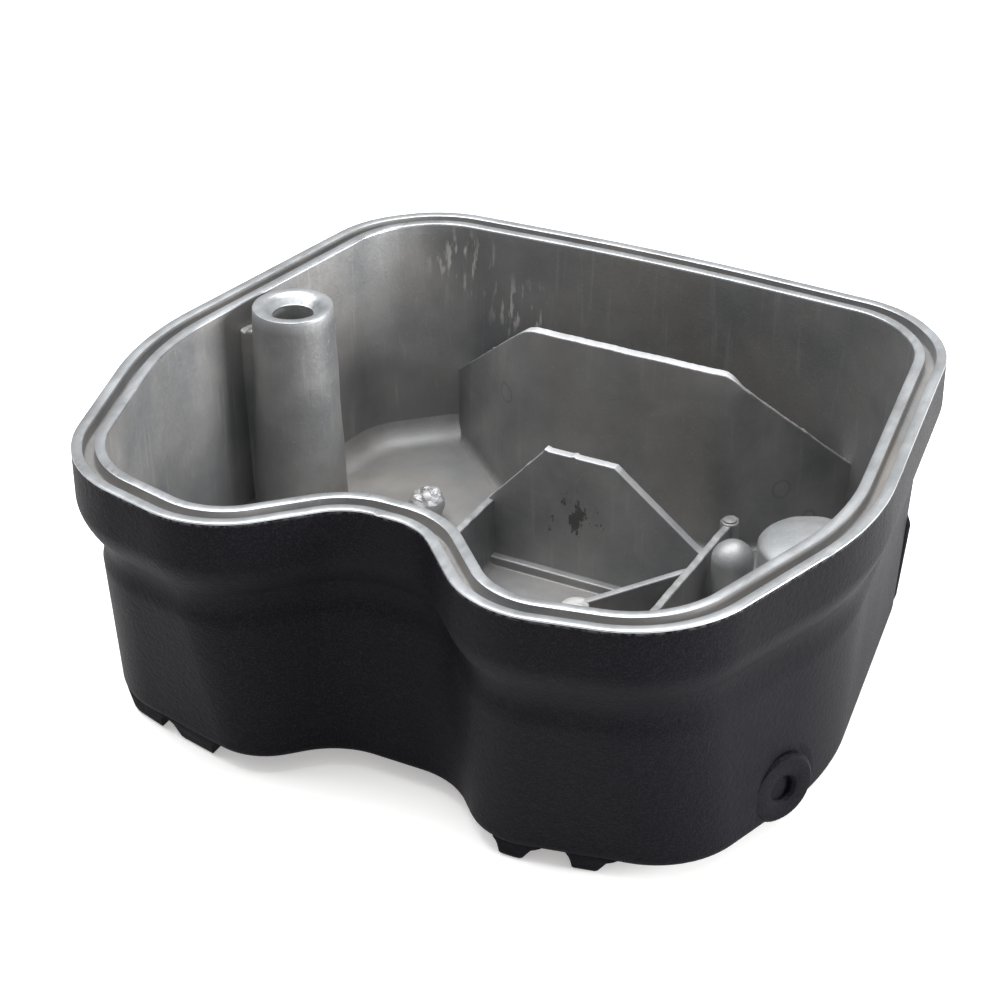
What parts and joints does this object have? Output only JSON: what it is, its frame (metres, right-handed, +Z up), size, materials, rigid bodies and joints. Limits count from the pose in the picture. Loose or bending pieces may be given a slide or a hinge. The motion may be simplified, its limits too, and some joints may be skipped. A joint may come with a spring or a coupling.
{
  "type": "air filter housing tub",
  "caption": "Open-topped die-cast housing tub, lobed at the front, with a grooved sealing rim, a bolt pillar, inner baffle walls and ribs, a tapped side boss and cooling fins underneath.",
  "frame": {"origin": "on the ground plane under the middle of the tub's overall length and width; the fins' lower faces touch the ground", "axes": "+X along the long side, towards the side with the tapped boss; +Y towards the straight back edge, away from the notch between the two lobes; +Z up, out of the open mouth"},
  "size_m": [0.1926, 0.1766, 0.0757],
  "materials": {
    "black_coat": "fine-textured satin black powder coat",
    "raw_casting": "as-cast grey aluminium, slightly mottled",
    "machined_land": "bright milled sealing face on a coated casting"
  },
  "bodies": {
    "root": {"rim_flange": "machined_land", "side_wall": "black_coat", "floor_pan": "black_coat", "bolt_pillar": "raw_casting", "pillar_web": "raw_casting", "rear_baffle": "raw_casting", "front_baffle": "raw_casting", "baffle_foot_step": "raw_casting", "left_rib": "raw_casting", "right_rib": "raw_casting", "right_rib_post": "raw_casting", "diagonal_rib": "raw_casting", "diagonal_rib_post": "raw_casting", "lobe_post": "raw_casting", "ball_boss": "raw_casting", "domed_boss": "raw_casting", "gate_stub": "raw_casting", "rib_stub": "raw_casting", "side_port_boss": "black_coat", "corner_lug": "black_coat", "underside_fin_1": "black_coat", "underside_fin_2": "black_coat", "underside_fin_3": "black_coat", "underside_fin_4": "black_coat", "underside_fin_5": "black_coat", "underside_fin_6": "black_coat", "underside_fin_7": "black_coat", "underside_fin_8": "black_coat"}
  },
  "joints": []
}
